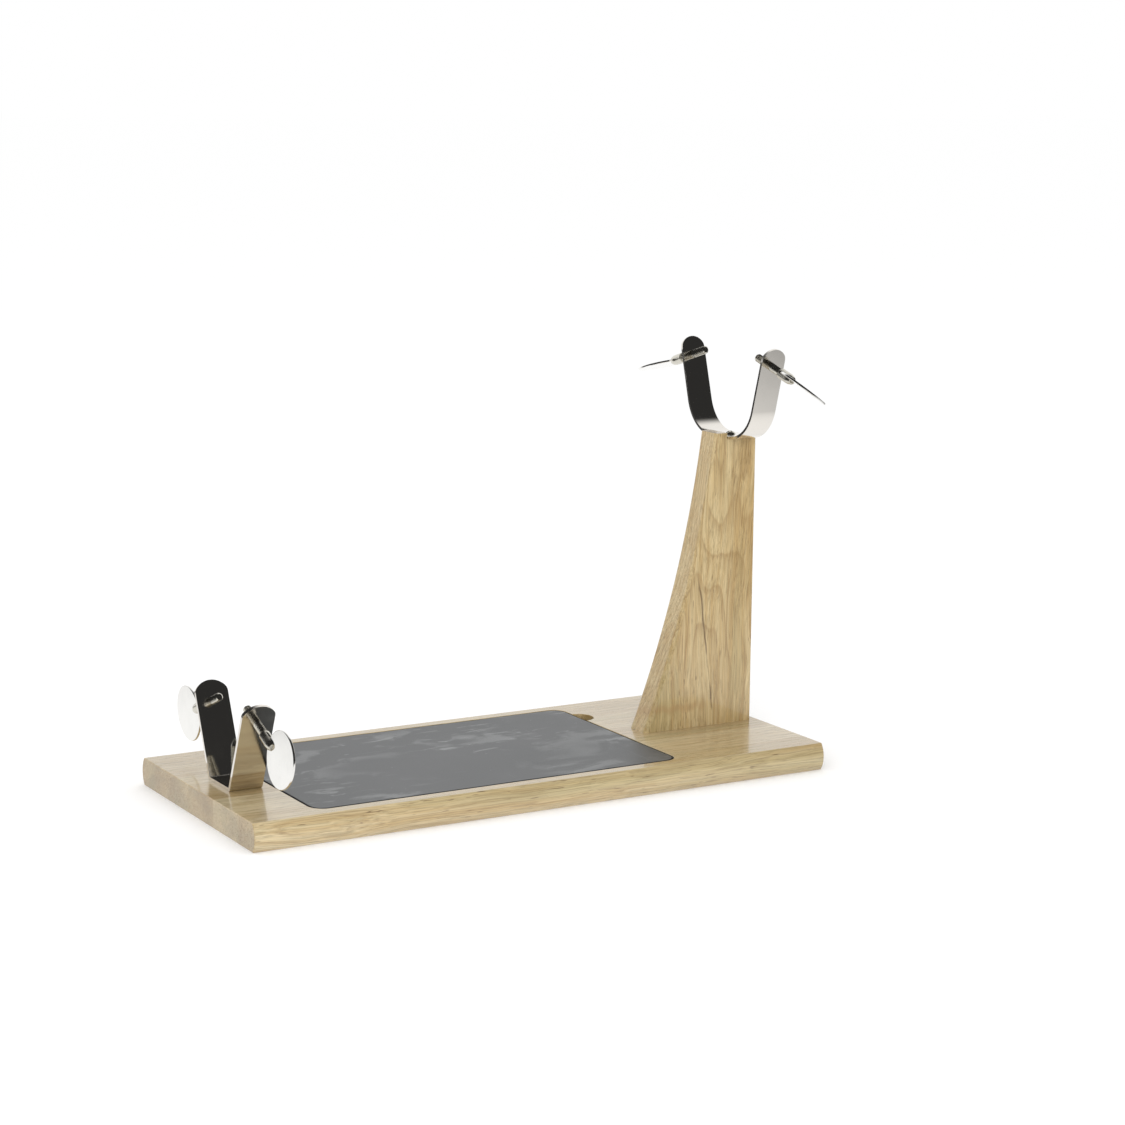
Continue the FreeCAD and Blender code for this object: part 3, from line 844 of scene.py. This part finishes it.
def post_band(shader, low, size):
    """The reddish band above the post's foot, from 0 to 0.42. It fades towards the upright back face."""
    x, _, z = shader.parts(shader.place)
    wavy = shader.noise(shader.place, (110, 110, 25), detail=3.0)
    wavy = shader.math("MULTIPLY_ADD", wavy, 14 * MM, low.z + 9 * MM)
    above = shader.math("ABSOLUTE", shader.math("SUBTRACT", z, wavy))
    ahead = shader.ramp(x, low.x + 0.45 * size.x, low.x + 0.62 * size.x, 1.0, 0.0)
    return shader.math("MULTIPLY", shader.ramp(above, 0.5 * MM, 5 * MM, 0.42, 0.0), ahead)


def post_oak():
    """Upright grain, with one dark streak down the side and a reddish band above the foot."""
    low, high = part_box("post")
    size = high - low
    shader, colour = oak("post_oak", (low.x + POST_PITH[0] * size.x, POST_PITH[1]))
    colour = shader.mix(post_streak(shader, low, size), colour, OAK_PORE)
    shader.set(Base_Color=shader.mix(post_band(shader, low, size), colour, OAK_RED))
    return shader.material


def slate_rim_shade(shader):
    """From 0 on the slate's face to 1 on its chamfer, the band where shade is painted along the gap line."""
    low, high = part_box("slate_plate")
    centre, half = (low + high) / 2, (high - low) / 2
    x, y, _ = shader.parts(shader.moved(shader.place, (-centre.x, -centre.y, 0)))
    inset = []
    for value, reach in ((x, half.x), (y, half.y)):
        past = shader.math("SUBTRACT", shader.math("ABSOLUTE", value), reach - SLATE_CORNER)
        inset.append(shader.math("MAXIMUM", past, 0.0))
    square = shader.math("ADD", shader.math("MULTIPLY", inset[0], inset[0]),
                         shader.math("MULTIPLY", inset[1], inset[1]))
    reach = shader.math("SQRT", square)
    # Makes the edge of the painted shade band uneven
    shade_wobble = shader.noise(shader.place, (160, 160, 160), detail=3.0)
    reach = shader.math("MULTIPLY_ADD", shade_wobble, 1.2 * MM, reach)
    return shader.ramp(reach, SLATE_CORNER - 1.0 * MM, SLATE_CORNER - 0.1 * MM)


def slate_smudges(shader):
    """Pale smudges and wiped strokes, gathered in some areas, from 0 to 0.75."""
    smudge = shader.noise(shader.place, (22, 34, 22), detail=5.0, roughness=0.58, distortion=0.5)
    stroke = shader.noise(shader.moved(shader.place, (3, 1, 0)), (30, 110, 30), detail=4.0, roughness=0.6,
                          distortion=0.8)
    area = shader.noise(shader.moved(shader.place, (1, 4, 0)), (9, 13, 9), detail=2.0)
    pale = shader.math("MULTIPLY", shader.ramp(smudge, 0.52, 0.64), shader.ramp(area, 0.42, 0.58))
    stroke = shader.math("MULTIPLY", shader.ramp(stroke, 0.57, 0.64), shader.ramp(area, 0.44, 0.60))
    return shader.math("MAXIMUM", shader.math("MULTIPLY", pale, 0.50), shader.math("MULTIPLY", stroke, 0.75))


def slate_marks(shader):
    """Fine scratches in two directions, and pale specks, from 0 to 0.6."""
    scratches = []
    for factors, shift in (((9, 640, 1), 0.0), ((600, 12, 1), 3.0)):
        bent = shader.noise(shader.moved(shader.place, (shift, shift, 0)), (6, 6, 6))
        line = shader.moved(shader.place, shader.join(0.0, shader.math("MULTIPLY", bent, 0.03), 0.0))
        scratches.append(shader.ramp(shader.noise(line, factors, detail=1.0), 0.75, 0.80))
    scratch = shader.math("MULTIPLY", shader.math("MAXIMUM", *scratches), 0.25)
    speck = shader.ramp(shader.noise(shader.moved(shader.place, (0, 2, 0)), (330, 430, 330)), 0.76, 0.80)
    return shader.math("MAXIMUM", scratch, shader.math("MULTIPLY", speck, 0.6))


def slate_stone():
    """Honed slate: grey with pale smudges, wiped strokes, fine scratches and specks, with painted shade on
    its chamfer along the gap line.
    """
    shader = Shader("slate_stone")
    cloud = shader.noise(shader.place, (14, 14, 14), detail=4.0, roughness=0.6)
    grit = shader.noise(shader.place, (900, 900, 900), detail=2.0)
    pale = slate_smudges(shader)
    rim = slate_rim_shade(shader)
    colour = shader.mix(shader.ramp(cloud, 0.35, 0.65), SLATE_DARK, SLATE_GREY)
    colour = shader.mix(pale, colour, SLATE_PALE)
    colour = shader.mix(slate_marks(shader), colour, SLATE_MARK)
    colour = shader.shaded(colour, shader.ramp(grit, 0.3, 0.7, 0.88, 1.12))
    # Painted shade: the chamfer band is darkened to near black for the gap line's shade, and it is also made
    # rougher
    colour = shader.mix(rim, colour, SLATE_RIM_SHADE)
    rough = shader.math("MULTIPLY_ADD", pale, -0.13, shader.ramp(cloud, 0.3, 0.7, 0.38, 0.46))
    rough = shader.math("MULTIPLY_ADD", rim, 0.5, rough)
    shader.bump(shader.math("ADD", grit, shader.math("MULTIPLY", cloud, 2.0)), 0.25, 0.08 * MM)
    shader.set(Base_Color=colour, Roughness=rough, IOR=1.60)
    return shader.material


def nickel(name):
    """Bright plate over steel: faint waviness, wiped marks and fine scratches."""
    spec = NICKELS[name]
    rough, spread = spec["rough"], spec["spread"]
    shader = Shader(name)
    wiped = shader.noise(shader.place, (60, 90, 60), detail=3.0, roughness=0.6)
    fine = shader.noise(shader.place, (500, 4200, 500), detail=2.0)
    level = shader.math("ADD", shader.ramp(wiped, 0.35, 0.75, rough, rough + spread),
                        shader.math("MULTIPLY", shader.ramp(fine, 0.62, 0.75), spread * 0.6))
    dim = tuple(NICKEL_DIM * part for part in spec["colour"][:3]) + (1.0,)
    colour = shader.mix(shader.ramp(wiped, 0.3, 0.7, 0.0, 0.35), spec["colour"], dim)
    shader.bump(shader.noise(shader.place, (35, 35, 35), detail=1.0), 0.5, NICKEL_WAVE)
    shader.set(Base_Color=colour, Metallic=1.0, Roughness=level)
    return shader.material


def zinc():
    """Dull plated steel for the fasteners that stay out of sight."""
    shader = Shader("zinc_plate")
    spangle = shader.noise(shader.place, (400, 400, 400), detail=3.0)
    colour = shader.mix(shader.ramp(spangle, 0.35, 0.65), ZINC_DARK, ZINC_PALE)
    shader.bump(spangle, 0.2, 0.03 * MM)
    shader.set(Base_Color=colour, Metallic=1.0, Roughness=shader.ramp(spangle, 0.3, 0.7, 0.3, 0.42))
    return shader.material


# ---------------------------------------------------------------- stage

def floor():
    """The pale floor under the stand. Reflections see the apron in its place."""
    bm = bmesh.new()
    bmesh.ops.create_grid(bm, x_segments=2, y_segments=2, size=FLOOR_SIZE / 2)
    ground = make_piece("floor", bm)
    ground.location.z = cad_box[0].z - FLOOR_DROP
    shader = Shader("floor_pale")
    shader.set(Base_Color=FLOOR_COLOUR, Roughness=FLOOR_ROUGH, Specular_IOR_Level=0.0)
    ground.data.materials.append(shader.material)
    ground.visible_glossy = False


def surround(name, bm, level):
    """A glowing surface that only reflections see."""
    piece = make_piece(name, bm)
    shader = Shader(name)
    shader.set(Base_Color=BLACK, Specular_IOR_Level=0.0, Emission_Color=WHITE)
    shader.set(Emission_Strength=level(shader))
    piece.data.materials.append(shader.material)
    for kind in ("camera", "diffuse", "transmission", "volume_scatter", "shadow"):
        setattr(piece, "visible_" + kind, False)
    return piece


def back_share(shader, turn):
    """From 0 to 1 as the way from the middle to a place turns from the camera's side to the back."""
    way = shader.vector("NORMALIZE", shader.place)[0]
    return shader.ramp(shader.vector("DOT_PRODUCT", way, BACK_WAY)["Value"], *turn)


def glow(shader, share):
    """From the dome's dark to its white."""
    return shader.math("MULTIPLY_ADD", share, DOME_WHITE - DOME_DARK, DOME_DARK)


def dome_level(shader):
    """White behind the object and dark round the camera."""
    return glow(shader, back_share(shader, DOME_TURN))


def apron_level(shader):
    """A white floor that falls off into the dark towards the camera."""
    length = shader.vector("LENGTH", shader.place)["Value"]
    near = shader.ramp(length, *APRON_FADE, 1.0, 0.0)
    return glow(shader, shader.math("MAXIMUM", near, back_share(shader, APRON_TURN)))


def reflected_studio():
    """What the bright metal and the lacquer reflect: a dome and a floor, as in a photographer's studio."""
    dome = bmesh.new()
    around, up = DOME_PARTS
    bmesh.ops.create_uvsphere(dome, u_segments=around, v_segments=up, radius=DOME_RADIUS)
    surround("studio_dome", dome, dome_level)
    apron = bmesh.new()
    bmesh.ops.create_circle(apron, cap_ends=True, segments=APRON_AROUND, radius=DOME_RADIUS)
    sheet = surround("studio_apron", apron, apron_level)
    sheet.location.z = cad_box[0].z - APRON_DROP


def sky():
    """A plain white world, which lights every surface but isn't reflected by any."""
    world = bpy.data.worlds.new("studio")
    bpy.context.scene.world = world
    world.use_nodes = True
    background = world.node_tree.nodes["Background"]
    background.inputs["Color"].default_value = WHITE
    background.inputs["Strength"].default_value = SKY_STRENGTH
    world.cycles_visibility.glossy = False
    bpy.context.scene.view_settings.view_transform = "Standard"


def key_lamp():
    """The soft lamp that gives the stand its shadow."""
    lamp = bpy.data.lights.new("key", "AREA")
    lamp.shape = "DISK"
    lamp.size = KEY_SIZE
    lamp.energy = KEY_POWER
    key = bpy.data.objects.new("key", lamp)
    key.location = KEY_WAY * KEY_DISTANCE
    key.rotation_euler = KEY_WAY.to_track_quat("Z", "Y").to_euler()
    key.visible_glossy = False
    bpy.context.scene.collection.objects.link(key)


def camera():
    """The photograph's viewpoint, solved from the board's corners."""
    lens = bpy.data.cameras.new("camera")
    lens.sensor_width = SENSOR
    lens.lens = CAMERA_LENS
    lens.clip_end = FLOOR_SIZE
    yaw, pitch = math.radians(CAMERA_YAW), math.radians(CAMERA_PITCH)
    forward = Vector((math.sin(yaw) * math.cos(pitch), math.cos(yaw) * math.cos(pitch), -math.sin(pitch)))
    turn = forward.to_track_quat("-Z", "Y").to_matrix().to_4x4()
    roll = Matrix.Rotation(math.radians(CAMERA_ROLL), 4, "Z")
    view = bpy.data.objects.new("camera", lens)
    view.matrix_world = Matrix.Translation(CAMERA_AT) @ turn @ roll
    bpy.context.scene.collection.objects.link(view)
    bpy.context.scene.camera = view


# ---------------------------------------------------------------- assembly

def paint_node(node, material):
    """Gives a CAD node that stays in view its material."""
    materials = frame["nodes"][node].data.materials
    materials.clear()
    materials.append(material)


def build_screws(rod_metal, plate_metal):
    """The four thumb screws. A rod turns with its head, as on the real screw."""
    for name in SCREWS:
        head = name + "_head"
        settle(screw_rod(name), head, [name + "_rod"], rod_metal)
        settle(screw_collar(name), head, [name + "_collar"], rod_metal)
        settle(screw_plate(name), head, [name + "_disc"], plate_metal)


def main():
    """Sets the stage, paints the CAD nodes that stay, and builds the pieces that replace the others."""
    camera()
    sky()
    key_lamp()
    floor()
    reflected_studio()
    strap_metal, rod_metal, plate_metal = (nickel(name) for name in NICKELS)
    paint_node("base_board", board_oak())
    paint_node("post", post_oak())
    paint_node("post_screws", zinc())
    paint_node("upper_bracket_screw", rod_metal)
    for node in STRAPS:
        settle(bracket(node), "stand", [node], strap_metal)
    build_screws(rod_metal, plate_metal)
    for piece in spike():
        settle(piece, "stand", ["spike_bolt"], rod_metal)
    settle(slate_slab(), "slate", ["slate_plate"], slate_stone())


main()
